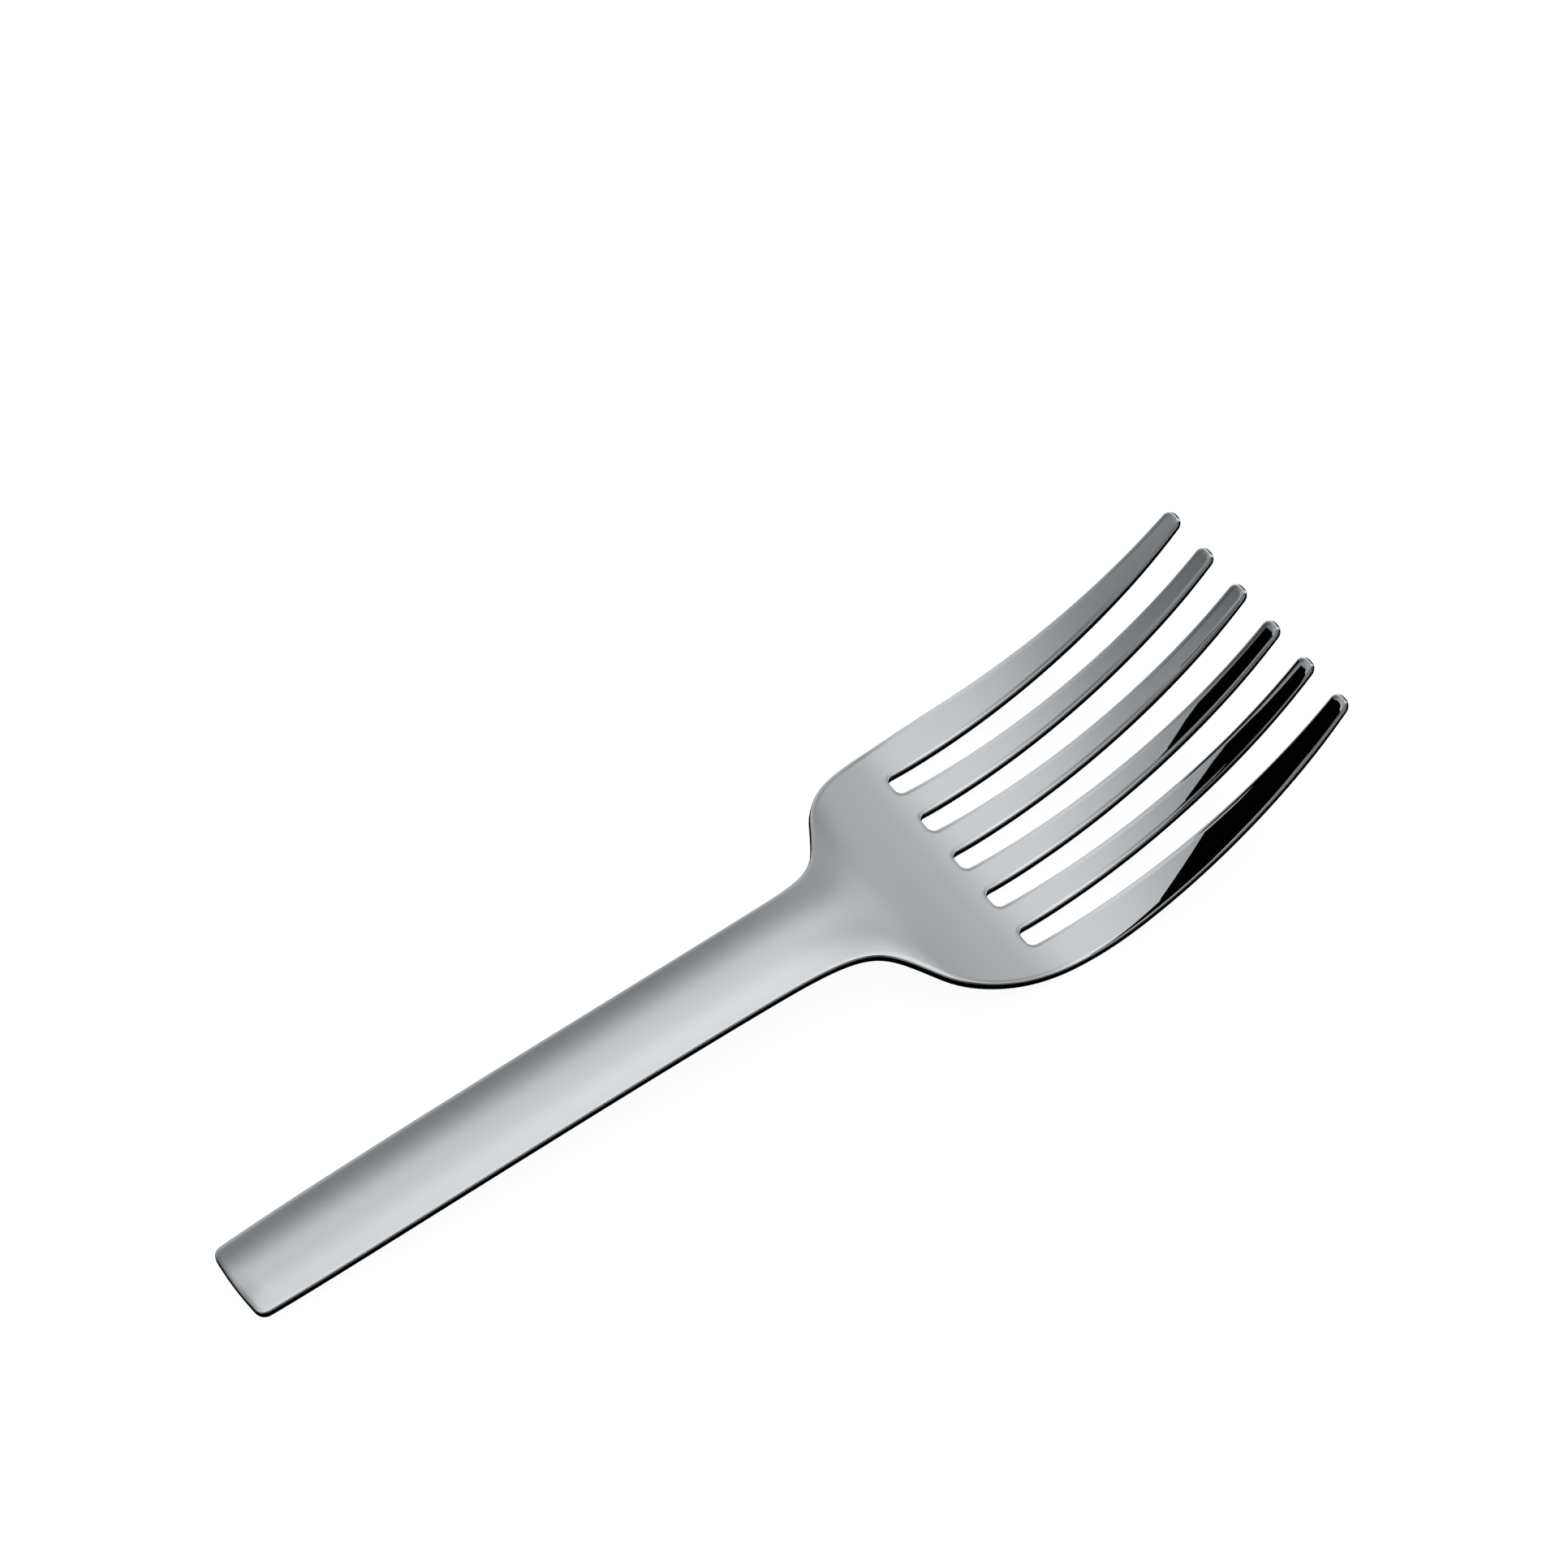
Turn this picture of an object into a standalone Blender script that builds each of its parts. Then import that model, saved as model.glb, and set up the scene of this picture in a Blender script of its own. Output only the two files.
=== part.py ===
"""Serving fork with six tines, pressed from one piece of stainless steel sheet.

The fork is laid out as a flat blank, seen from above: a handle, a neck that flares into the
shoulders, and a wide head that five open slots part into six tines. The blank's rim is rounded,
the handle's top face is crowned, and the tines are drawn thinner towards their tips. The blank is
then bent along its length: the handle arches a little, the neck dips, the bowl turns up and the
tines curve on to their tips. At last the fork is laid on its handle's end and its belly.

Frame: metres, +Y towards the tines, +Z up, origin at the middle of the bounding box, on the ground.
"""

import math

import bmesh
import bpy
import numpy as np

# Blank outline. Stations are lengths along the middle of the top face, from the handle's end.
HANDLE_LENGTH = 0.1369
HANDLE_END_WIDTH = 0.0196
HANDLE_END_FLARE = math.radians(3.5)
HANDLE_END_CORNER = 0.0025
HANDLE_END_BOW = 0.0004
NECK_WIDTH = 0.0222
NECK_FLARE = math.radians(1.1)
SHOULDER_LENGTH = 0.0303
SHOULDER_WIDTH = 0.0486
SHOULDER_FLARE = math.radians(57.2)
BOWL_LENGTH = 0.0403
OUTER_TINE_SWELL = 0.00227
TIPS_TAPER = math.radians(-4.0)

# Softness of the outline's curves: the pull of each tangent, as a share of the curve's chord.
HANDLE_END_PULL = 0.16
HANDLE_NECK_PULL = 0.26
NECK_PULL = 0.69
SHOULDER_BACK_PULL = 0.41
SHOULDER_FRONT_PULL = 0.128
BOWL_PULL = 0.743
HEAD_PULL = 0.12
TIPS_PULL = 0.30

# Tines and the slots between them. The slots end a little behind the head's widest place.
TINE_COUNT = 6
TINE_LENGTH = 0.0907
TINE_WIDTH_AT_ROOT = 0.00746
TINE_WIDTH_AT_TIP = 0.00472
SLOT_WIDTH_AT_ROOT = 0.00500
SLOT_WIDTH_AT_TIP = 0.00758
SLOT_SETBACK = 0.0166
SLOT_CORNER = 0.0017
TIP_CORNER = 0.0020

# Sheet thickness and the form of the top face.
SHEET = 0.0020
TINE_SHEET = 0.0017
TIP_SHEET = 0.0014
TIP_THINNING_LENGTH = 0.020
HANDLE_CROWN = 0.0010
CROWN_END_LENGTH = 0.0030
CROWN_RUN_ON = 0.0130
CROWN_FADE_LENGTH = 0.0140

# The rim: the top face rolls off softly towards the edge, and the edge itself is rounded.
ROLL_WIDTH = 0.0013
ROLL_DROP = 0.00014
EDGE_ROUND = 0.00035
UNDER_RIM = 0.00025

# Bends along the length, in the order of the blank. The neck dips from just past the handle to
# just behind the slots, where the bowl turns up.
HANDLE_ARCH_RADIUS = 2.62
NECK_BEND = math.radians(20.8)
NECK_BEND_DELAY = 0.0014
BOWL_BEND = math.radians(17.3)
BOWL_BEND_RADIUS = 0.0315
BOWL_BEND_SETBACK = 0.0072
TINE_BEND_RADIUS = 0.1035
BEND_EASE = 0.008

# The belly's short flat, on which the fork stands.
BELLY_FLAT = 0.0040

# Fineness of the mesh.
HANDLE_ROWS = 7
HEAD_ROW_STEP = 0.0024
TINE_ROW_STEP = 0.0042
CORNER_ROWS = 4
TINE_CELLS = 2
ROLL_ROWS = 2
ROUND_ROWS = 3
BEND_STEP = 0.0001

# Stations and widths that follow from the sizes above.
NECK_STATION = HANDLE_LENGTH
SHOULDER_STATION = NECK_STATION + SHOULDER_LENGTH
WIDEST_STATION = SHOULDER_STATION + BOWL_LENGTH
ROOT_STATION = WIDEST_STATION - SLOT_SETBACK
TIP_STATION = ROOT_STATION + TINE_LENGTH
NECK_BEND_STATION = NECK_STATION + NECK_BEND_DELAY
BOWL_BEND_STATION = ROOT_STATION - BOWL_BEND_SETBACK
PITCH_AT_ROOT = TINE_WIDTH_AT_ROOT + SLOT_WIDTH_AT_ROOT
PITCH_AT_TIP = TINE_WIDTH_AT_TIP + SLOT_WIDTH_AT_TIP
HEAD_WIDTH = TINE_COUNT * PITCH_AT_ROOT - SLOT_WIDTH_AT_ROOT + 2 * OUTER_TINE_SWELL
TIPS_WIDTH = TINE_COUNT * PITCH_AT_TIP - SLOT_WIDTH_AT_TIP
ROOT_ROUNDING = min(SLOT_CORNER, 0.45 * SLOT_WIDTH_AT_ROOT)
TIP_ROUNDING = min(TIP_CORNER, 0.45 * TINE_WIDTH_AT_TIP)


def smooth_step(value):
    """Ease from 0 to 1 while the value runs from 0 to 1."""
    share = min(max(value, 0.0), 1.0)
    return share * share * (3.0 - 2.0 * share)


def corner_inset(distance, radius):
    """How far a rounded corner stands back from a side, at a distance from the corner's end."""
    if distance >= radius:
        return 0.0
    reach = radius - max(distance, 0.0)
    return radius - math.sqrt(radius * radius - reach * reach)


def bezier(start, start_angle, start_pull, end, end_angle, end_pull, points=48):
    """Curve from start to end with the given tangents, whose pulls are shares of the chord."""
    start, end = np.array(start), np.array(end)
    chord = np.linalg.norm(end - start)
    leave = start + chord * start_pull * np.array([math.cos(start_angle), math.sin(start_angle)])
    arrive = end - chord * end_pull * np.array([math.cos(end_angle), math.sin(end_angle)])
    t = np.linspace(0.0, 1.0, points)[:, None]
    return ((1 - t) ** 3 * start + 3 * (1 - t) ** 2 * t * leave
            + 3 * (1 - t) * t ** 2 * arrive + t ** 3 * end)


def side_curve():
    """The blank's side as points of station and half width, from the handle's end to the tips."""
    end = (0.0, HANDLE_END_WIDTH / 2)
    neck = (NECK_STATION, NECK_WIDTH / 2)
    shoulder = (SHOULDER_STATION, SHOULDER_WIDTH / 2)
    widest = (WIDEST_STATION, HEAD_WIDTH / 2)
    tip = (TIP_STATION, TIPS_WIDTH / 2)
    return np.vstack([
        bezier(end, HANDLE_END_FLARE, HANDLE_END_PULL, neck, NECK_FLARE, HANDLE_NECK_PULL),
        bezier(neck, NECK_FLARE, NECK_PULL, shoulder, SHOULDER_FLARE, SHOULDER_BACK_PULL),
        bezier(shoulder, SHOULDER_FLARE, SHOULDER_FRONT_PULL, widest, 0.0, BOWL_PULL),
        bezier(widest, 0.0, HEAD_PULL, tip, TIPS_TAPER, TIPS_PULL),
    ])


SIDE = side_curve()


def half_width(station):
    """Half of the blank's width, with the rounded corners of the handle's end."""
    return np.interp(station, SIDE[:, 0], SIDE[:, 1]) - corner_inset(station, HANDLE_END_CORNER)


def along_tines(station):
    """Share of the way from the slots' ends to the tips."""
    return (station - ROOT_STATION) / TINE_LENGTH


def slot_centre(slot, station):
    """Cross position of a slot's middle. Slot 0 lies between tines 0 and 1."""
    pitch = PITCH_AT_ROOT + (PITCH_AT_TIP - PITCH_AT_ROOT) * along_tines(station)
    return (slot - (TINE_COUNT - 2) / 2) * pitch


def slot_half_width(station):
    """Half of a slot's width, which narrows to its rounded end."""
    width = SLOT_WIDTH_AT_ROOT + (SLOT_WIDTH_AT_TIP - SLOT_WIDTH_AT_ROOT) * along_tines(station)
    return width / 2 - corner_inset(station - ROOT_STATION, ROOT_ROUNDING)


def tine_sides(tine, station):
    """Cross positions of a tine's left and right sides."""
    left, right = -half_width(station), half_width(station)
    if tine > 0:
        left = slot_centre(tine - 1, station) + slot_half_width(station)
    if tine < TINE_COUNT - 1:
        right = slot_centre(tine, station) - slot_half_width(station)
    inset = corner_inset(TIP_STATION - station, TIP_ROUNDING)
    return left + inset, right - inset


def sheet_thickness(station):
    """Thickness at the rim: the full sheet, drawn thinner along the tines and at their tips."""
    drawn = SHEET + (TINE_SHEET - SHEET) * smooth_step(along_tines(station))
    to_tip = (TIP_STATION - station) / TIP_THINNING_LENGTH
    return TIP_SHEET + (drawn - TIP_SHEET) * math.sin(min(max(to_tip, 0.0), 1.0) * math.pi / 2)


def end_bow(across):
    """How far the handle's end bows out, at a share of the way from the middle to the side."""
    return HANDLE_END_BOW * (1.0 - across * across)


def crown(point):
    """Height of the top face over its edges: full along the handle, and gone in the head."""
    across = min(abs(point[0]) / half_width(max(point[1], HANDLE_END_CORNER)), 1.0)
    from_end = min(max((point[1] + end_bow(across)) / CROWN_END_LENGTH, 0.0), 1.0)
    rise = math.sqrt(from_end * (2.0 - from_end))
    fade = smooth_step((SHOULDER_STATION + CROWN_RUN_ON - point[1]) / CROWN_FADE_LENGTH)
    return HANDLE_CROWN * rise * fade * (1.0 - across * across)


def rim_profile():
    """The top rim in section, as pairs of distance from the edge and depth, from the face outwards."""
    rolled = [ROLL_WIDTH + (EDGE_ROUND - ROLL_WIDTH) * row / ROLL_ROWS for row in range(ROLL_ROWS)]
    angles = [math.pi / 2 * row / ROUND_ROWS for row in range(ROUND_ROWS + 1)]
    rounded = [EDGE_ROUND * (1.0 - math.sin(angle)) for angle in angles]
    drops = [0.0] * ROLL_ROWS + [EDGE_ROUND * (1.0 - math.cos(angle)) for angle in angles]
    return [(distance, drop + ROLL_DROP * (1.0 - distance / ROLL_WIDTH) ** 2)
            for distance, drop in zip(rolled + rounded, drops)]


def bend_line():
    """Station, forward position, height and slope along the bent top face."""
    tine_bend_station = BOWL_BEND_STATION + BOWL_BEND_RADIUS * BOWL_BEND
    end_station = TIP_STATION + 2 * BEND_EASE
    knots = [0.0, NECK_BEND_STATION, BOWL_BEND_STATION, tine_bend_station, end_station]
    turns = [-NECK_BEND_STATION / HANDLE_ARCH_RADIUS, -NECK_BEND, BOWL_BEND,
             (end_station - tine_bend_station) / TINE_BEND_RADIUS]
    slopes = np.concatenate([[0.0], np.cumsum(turns)])
    station = np.arange(-2 * BEND_EASE, end_station, BEND_STEP)
    slope = np.interp(station, knots, slopes)
    window = np.ones(int(round(2 * BEND_EASE / BEND_STEP)) | 1)
    eased = np.convolve(slope, window / window.size, mode="same")
    eased[station < BEND_EASE] = eased[station >= BEND_EASE][0]
    forward = np.concatenate([[0.0], np.cumsum(np.cos((eased[1:] + eased[:-1]) / 2))]) * BEND_STEP
    height = np.concatenate([[0.0], np.cumsum(np.sin((eased[1:] + eased[:-1]) / 2))]) * BEND_STEP
    return station, forward, height, eased


BEND = bend_line()


def bend(station, depth):
    """Forward position and height of a point at a depth under the bent top face."""
    forward, height, slope = (np.interp(station, BEND[0], values) for values in BEND[1:])
    return forward + depth * math.sin(slope), height - depth * math.cos(slope)


def ground_tangent():
    """Middle of the belly's flat and the slope of the ground, seen in the bent frame."""
    heel = bend(UNDER_RIM - HANDLE_END_BOW, SHEET)
    low, high = SHOULDER_STATION, TIP_STATION - BELLY_FLAT
    for _ in range(60):
        middle = (low + high) / 2
        back = bend(middle - BELLY_FLAT / 2, sheet_thickness(middle - BELLY_FLAT / 2))
        front = bend(middle + BELLY_FLAT / 2, sheet_thickness(middle + BELLY_FLAT / 2))
        flat_slope = math.atan2(front[1] - back[1], front[0] - back[0])
        ground_slope = math.atan2(back[1] - heel[1], back[0] - heel[0])
        if flat_slope < ground_slope:
            low = middle
        else:
            high = middle
    return middle, ground_slope, heel


BELLY_STATION, GROUND_SLOPE, HEEL = ground_tangent()


def place(point, depth):
    """Bent and seated position of a blank point, given as its cross position and station."""
    forward, height = bend(point[1], depth)
    forward, height = forward - HEEL[0], height - HEEL[1]
    turn_cos, turn_sin = math.cos(GROUND_SLOPE), math.sin(GROUND_SLOPE)
    return point[0], forward * turn_cos + height * turn_sin, height * turn_cos - forward * turn_sin


def stations():
    """Rows of the mesh: those behind the slots' ends, and those along the tines."""
    steps = [1 - math.cos(math.pi / 2 * row / CORNER_ROWS) for row in range(CORNER_ROWS + 1)]
    heel = [HANDLE_END_CORNER * step for step in steps]
    handle = list(np.linspace(HANDLE_END_CORNER, NECK_STATION, HANDLE_ROWS + 1)[1:])
    head_rows = math.ceil((ROOT_STATION - NECK_STATION) / HEAD_ROW_STEP)
    head = list(np.linspace(NECK_STATION, ROOT_STATION, head_rows + 1)[1:])
    root = [ROOT_STATION + ROOT_ROUNDING * step for step in steps[1:]]
    tip = [TIP_STATION - TIP_ROUNDING * step for step in steps[::-1]]
    tine_rows = math.ceil((tip[0] - root[-1]) / TINE_ROW_STEP)
    tines = list(np.linspace(root[-1], tip[0], tine_rows + 1)[1:-1])
    belly = [BELLY_STATION - BELLY_FLAT / 2, BELLY_STATION + BELLY_FLAT / 2]
    plate_rows = with_belly(heel + handle + head, belly, heel[-1], ROOT_STATION)
    tine_stations = with_belly(root + tines + tip, belly, root[-1], tip[0])
    return plate_rows, tine_stations


def with_belly(rows, belly, first, last):
    """The rows with the belly's two rows in place of those near them."""
    own = [row for row in belly if first < row < last]
    kept = [row for row in rows if row <= first or row >= last
            or all(abs(row - edge) > HEAD_ROW_STEP / 2 for edge in own)
            and not belly[0] < row < belly[1]]
    return sorted(kept + own)


def lay_out_blank():
    """Plan of the blank: points of cross position and station, its rows of points, and its faces."""
    plate_rows, tine_stations = stations()
    columns, tines = [], []
    for tine in range(TINE_COUNT):
        left, right = tine_sides(tine, ROOT_STATION)
        tines.append(range(len(columns), len(columns) + TINE_CELLS + 1))
        columns += list(np.linspace(left, right, TINE_CELLS + 1))
    shares = np.array(columns) / half_width(ROOT_STATION)

    points, rows, faces = [], [], []
    for station in plate_rows:
        bow_fade = 1.0 - smooth_step(station / HANDLE_END_WIDTH)
        row = range(len(points), len(points) + len(shares))
        points += [(share * half_width(station), station - bow_fade * end_bow(share))
                   for share in shares]
        if rows:
            faces += bridge(rows[-1], row)
        rows.append(row)
    root_row = row
    for tine, root_columns in enumerate(tines):
        row_before = [root_row[column] for column in root_columns]
        for station in tine_stations:
            row = range(len(points), len(points) + TINE_CELLS + 1)
            points += [(x, station) for x in np.linspace(*tine_sides(tine, station), TINE_CELLS + 1)]
            faces += bridge(row_before, row)
            rows.append(row)
            row_before = row
    return np.array(points), rows, faces


def bridge(row_before, row):
    """Four-sided faces between two rows, with their corners anticlockwise from above."""
    return [(row_before[i], row_before[i + 1], row[i + 1], row[i]) for i in range(len(row) - 1)]


def rim_loop(faces):
    """The blank's edge as one closed loop of point numbers, anticlockwise from above."""
    sides = {(face[i - 1], face[i]) for face in faces for i in range(4)}
    following = {start: end for start, end in sides if (end, start) not in sides}
    loop = [min(following)]
    while following[loop[-1]] != loop[0]:
        loop.append(following[loop[-1]])
    return loop


def outward_normals(points):
    """Outward direction at each point of a closed loop, longer where the loop turns."""
    edge = np.roll(points, -1, axis=0) - points
    edge /= np.linalg.norm(edge, axis=1)[:, None]
    side = np.column_stack([edge[:, 1], -edge[:, 0]])
    normal = side + np.roll(side, 1, axis=0)
    return normal / (1.0 + np.sum(side * np.roll(side, 1, axis=0), axis=1))[:, None]


def moved_in(points, rows, loop, outward, distance):
    """The plan points moved in from the edge: the edge by a distance, and each row between its ends."""
    place_in_loop = {number: place_there for place_there, number in enumerate(loop)}
    moved = points.copy()
    for row in rows:
        across = points[row, 0]
        edge = [i for i, number in enumerate(row) if number in place_in_loop]
        shift = np.array([-distance * outward[place_in_loop[row[i]]] for i in edge])
        moved[row, 0] += np.interp(across, across[edge], shift[:, 0])
        moved[row, 1] += np.interp(across, across[edge], shift[:, 1])
    return moved


def build_fork_mesh():
    """The closed solid: top face, rounded rim, wall, under rim and underside."""
    points, rows, faces = lay_out_blank()
    loop = rim_loop(faces)
    edge = points[loop]
    outward = outward_normals(edge)
    mesh = bmesh.new()

    def add(point, depth):
        return mesh.verts.new(place(point, depth))

    top = [add(point, -crown(point)) for point in moved_in(points, rows, loop, outward, ROLL_WIDTH)]
    under = [add(point, sheet_thickness(point[1]))
             for point in moved_in(points, rows, loop, outward, UNDER_RIM)]
    rings = [[top[number] for number in loop]]
    for distance, depth in rim_profile()[1:]:
        rings.append([add(point, depth - crown(point)) for point in edge - distance * outward])
    rings.append([add(point, sheet_thickness(point[1]) - UNDER_RIM) for point in edge])
    rings.append([under[number] for number in loop])

    for face in faces:
        mesh.faces.new([top[number] for number in face])
        mesh.faces.new([under[number] for number in reversed(face)])
    for upper, lower in zip(rings[:-1], rings[1:]):
        for i in range(len(loop)):
            mesh.faces.new([upper[i - 1], lower[i - 1], lower[i], upper[i]])

    rear = min(vert.co.y for vert in mesh.verts)
    front = max(vert.co.y for vert in mesh.verts)
    bmesh.ops.translate(mesh, verts=mesh.verts, vec=(0.0, -(rear + front) / 2, 0.0))
    return mesh


def stainless_steel():
    """Satin stainless steel, a cool neutral grey."""
    material = bpy.data.materials.new("stainless_steel")
    material.use_nodes = True
    shader = material.node_tree.nodes["Principled BSDF"]
    shader.inputs["Base Color"].default_value = (0.62, 0.63, 0.64, 1.0)
    shader.inputs["Metallic"].default_value = 1.0
    shader.inputs["Roughness"].default_value = 0.25
    return material


def add_fork():
    """The fork as one named object."""
    mesh = build_fork_mesh()
    data = bpy.data.meshes.new("serving_fork")
    mesh.to_mesh(data)
    mesh.free()
    data.shade_smooth()
    data.set_sharp_from_angle(angle=math.radians(40.0))
    data.materials.append(stainless_steel())
    fork = bpy.data.objects.new("serving_fork", data)
    bpy.context.scene.collection.objects.link(fork)
    return fork


for item in list(bpy.data.objects):
    bpy.data.objects.remove(item, do_unlink=True)

add_fork()
print("belly station", round(BELLY_STATION * 1000, 2), "mm, ground slope",
      round(math.degrees(GROUND_SLOPE), 2), "degrees")
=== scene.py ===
import math

import bpy
import numpy as np
from mathutils import Matrix, Vector


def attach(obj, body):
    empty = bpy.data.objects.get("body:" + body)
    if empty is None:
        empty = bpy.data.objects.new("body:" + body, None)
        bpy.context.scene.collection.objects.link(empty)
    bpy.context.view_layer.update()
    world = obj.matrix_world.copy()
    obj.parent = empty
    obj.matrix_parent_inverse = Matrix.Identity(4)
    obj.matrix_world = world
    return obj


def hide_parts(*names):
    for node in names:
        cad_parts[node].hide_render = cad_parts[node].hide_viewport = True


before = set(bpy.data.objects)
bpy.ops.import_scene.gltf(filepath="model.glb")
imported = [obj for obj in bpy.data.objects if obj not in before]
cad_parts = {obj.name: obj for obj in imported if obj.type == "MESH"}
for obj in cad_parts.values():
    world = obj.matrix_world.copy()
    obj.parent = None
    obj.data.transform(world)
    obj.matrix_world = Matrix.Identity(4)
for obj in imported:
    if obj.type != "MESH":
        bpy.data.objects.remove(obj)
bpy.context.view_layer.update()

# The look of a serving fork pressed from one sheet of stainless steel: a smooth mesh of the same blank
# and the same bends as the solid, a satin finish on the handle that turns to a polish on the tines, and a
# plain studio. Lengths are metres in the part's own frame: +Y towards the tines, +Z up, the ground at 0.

# Blank outline. Stations are lengths along the middle of the top face, from the handle's end.
HANDLE_LENGTH = 0.1369
HANDLE_END_WIDTH = 0.0196
HANDLE_END_FLARE = math.radians(3.5)
HANDLE_END_CORNER = 0.0025
HANDLE_END_BOW = 0.0004
NECK_WIDTH = 0.0222
NECK_FLARE = math.radians(1.1)
SHOULDER_LENGTH = 0.0303
SHOULDER_WIDTH = 0.0486
SHOULDER_FLARE = math.radians(57.2)
BOWL_LENGTH = 0.0403
OUTER_TINE_SWELL = 0.00227
TIPS_TAPER = math.radians(-4.0)

# Softness of the outline's curves: the pull of each tangent, as a share of the curve's chord.
HANDLE_END_PULL = 0.16
HANDLE_NECK_PULL = 0.26
NECK_PULL = 0.69
SHOULDER_BACK_PULL = 0.41
SHOULDER_FRONT_PULL = 0.128
BOWL_PULL = 0.743
HEAD_PULL = 0.12
TIPS_PULL = 0.30

# Tines and slots.
TINE_COUNT = 6
TINE_LENGTH = 0.0907
TINE_WIDTH_AT_ROOT = 0.00746
TINE_WIDTH_AT_TIP = 0.00472
SLOT_WIDTH_AT_ROOT = 0.00500
SLOT_WIDTH_AT_TIP = 0.00758
SLOT_SETBACK = 0.0166
SLOT_CORNER = 0.0017
TIP_CORNER = 0.0020
CORNER_LIMIT = 0.45

# Sheet thickness, the crown of the handle's top face, and the hollow under its end.
SHEET = 0.0020
TINE_SHEET = 0.0017
TIP_SHEET = 0.0014
TIP_THINNING_LENGTH = 0.020
HANDLE_CROWN = 0.0010
CROWN_END_LENGTH = 0.0050
CROWN_END_SHARE = 0.75
END_HOLLOW_LENGTH = 0.0120
CROWN_RUN_ON = 0.0130
CROWN_FADE_LENGTH = 0.0140

# The rim: the top face rolls off softly towards the edge, and the edge itself is rounded.
ROLL_WIDTH = 0.0013
ROLL_DROP = 0.00014
EDGE_ROUND = 0.00035
UNDER_RIM = 0.00025

# Bends along the length.
HANDLE_ARCH_RADIUS = 2.62
NECK_BEND = math.radians(20.8)
NECK_BEND_DELAY = 0.0014
BOWL_BEND = math.radians(17.3)
BOWL_BEND_RADIUS = 0.0315
BOWL_BEND_SETBACK = 0.0072
TINE_BEND_RADIUS = 0.1035
BEND_EASE = 0.008
BELLY_FLAT = 0.0040

# Fineness of the mesh.
PLATE_ROW_STEP = 0.0012
TINE_ROW_STEP = 0.0012
CORNER_ROWS = 8
TINE_CELLS = 6
ROLL_ROWS = 5
ROUND_ROWS = 6
UNDER_RIM_ROWS = 3
BEND_STEP = 0.0001
TANGENT_STEPS = 60
NORMAL_STEP = 0.00005
NORMAL_TURN = 0.02

# Stations and widths that follow from the sizes above.
NECK_STATION = HANDLE_LENGTH
SHOULDER_STATION = NECK_STATION + SHOULDER_LENGTH
WIDEST_STATION = SHOULDER_STATION + BOWL_LENGTH
ROOT_STATION = WIDEST_STATION - SLOT_SETBACK
TIP_STATION = ROOT_STATION + TINE_LENGTH
NECK_BEND_STATION = NECK_STATION + NECK_BEND_DELAY
BOWL_BEND_STATION = ROOT_STATION - BOWL_BEND_SETBACK
PITCH_AT_ROOT = TINE_WIDTH_AT_ROOT + SLOT_WIDTH_AT_ROOT
PITCH_AT_TIP = TINE_WIDTH_AT_TIP + SLOT_WIDTH_AT_TIP
HEAD_WIDTH = TINE_COUNT * PITCH_AT_ROOT - SLOT_WIDTH_AT_ROOT + 2 * OUTER_TINE_SWELL
TIPS_WIDTH = TINE_COUNT * PITCH_AT_TIP - SLOT_WIDTH_AT_TIP
ROOT_ROUNDING = min(SLOT_CORNER, CORNER_LIMIT * SLOT_WIDTH_AT_ROOT)
TIP_ROUNDING = min(TIP_CORNER, CORNER_LIMIT * TINE_WIDTH_AT_TIP)

# Steel and its finish. The brushing's scale counts lines to the metre, across, along and through.
STEEL = (0.62, 0.63, 0.64)
SATIN_ROUGHNESS = 0.20
POLISHED_ROUGHNESS = 0.015
RIM_POLISH = 0.5
BRUSHING_SCALE = (5200.0, 160.0, 5200.0)
BRUSHING_ROUGHNESS = 0.06
BRUSHING_BUMP = 0.02
BRUSHING_DEPTH = 0.0001
CLOUD_SCALE = 140.0
CLOUD_ROUGHNESS = 0.05

# Camera, as bearing and height over the horizon, seen from the point of the ground that it looks at.
IMAGE_SIDE = 1932
CAMERA_BEARING = math.radians(55.034)
CAMERA_HEIGHT = math.radians(55.031)
CAMERA_TARGET = (-0.04084, 0.035448, 0.0)
CAMERA_DISTANCE = 1.48994
FOCAL_PIXELS = 8173.0
SENSOR_WIDTH = 36.0

# Studio light as soft lamps round the fork, and flags that take light away. Each has the X and Y
# components of the direction to its middle, its spread along both, and its brightness, which is below
# zero for a flag.
SOFT_LIGHTS = {
    "overhead_lamp": (-0.276, 0.234, 0.100, 0.217, 0.827),
    "near_overhead_lamp": (-0.418, -0.098, 0.148, 0.295, 0.616),
    "left_lamp": (-0.850, 0.635, 0.268, 0.794, 1.224),
    "far_left_lamp": (-0.962, 0.727, 0.405, 0.481, 0.485),
    "left_flag": (-0.754, 0.494, 0.226, 0.180, -0.664),
    "rear_lamp": (-0.362, -0.894, 0.088, 0.580, 0.886),
    "rear_flag": (-0.352, -0.255, 0.080, 0.423, -0.923),
    "right_lamp": (0.077, 0.271, 0.194, 0.695, 1.236),
    "front_lamp": (-0.485, 0.550, 0.080, 0.200, 0.890),
    "front_flag": (-0.525, 0.624, 0.080, 0.180, -0.802),
    "far_right_lamp": (0.660, -0.720, 0.220, 0.220, 0.300),
    "horizon_lamp": (0.950, 0.300, 0.200, 0.350, 0.250),
}

# The light's tint, which deepens as the Y component of the direction falls from 0 to SHADE_DIRECTION.
LIGHT_COLOUR = (0.978, 1.005, 1.013, 1.0)
SHADE_COLOUR = (0.955, 1.010, 1.037, 1.0)
SHADE_DIRECTION = -0.6

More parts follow.
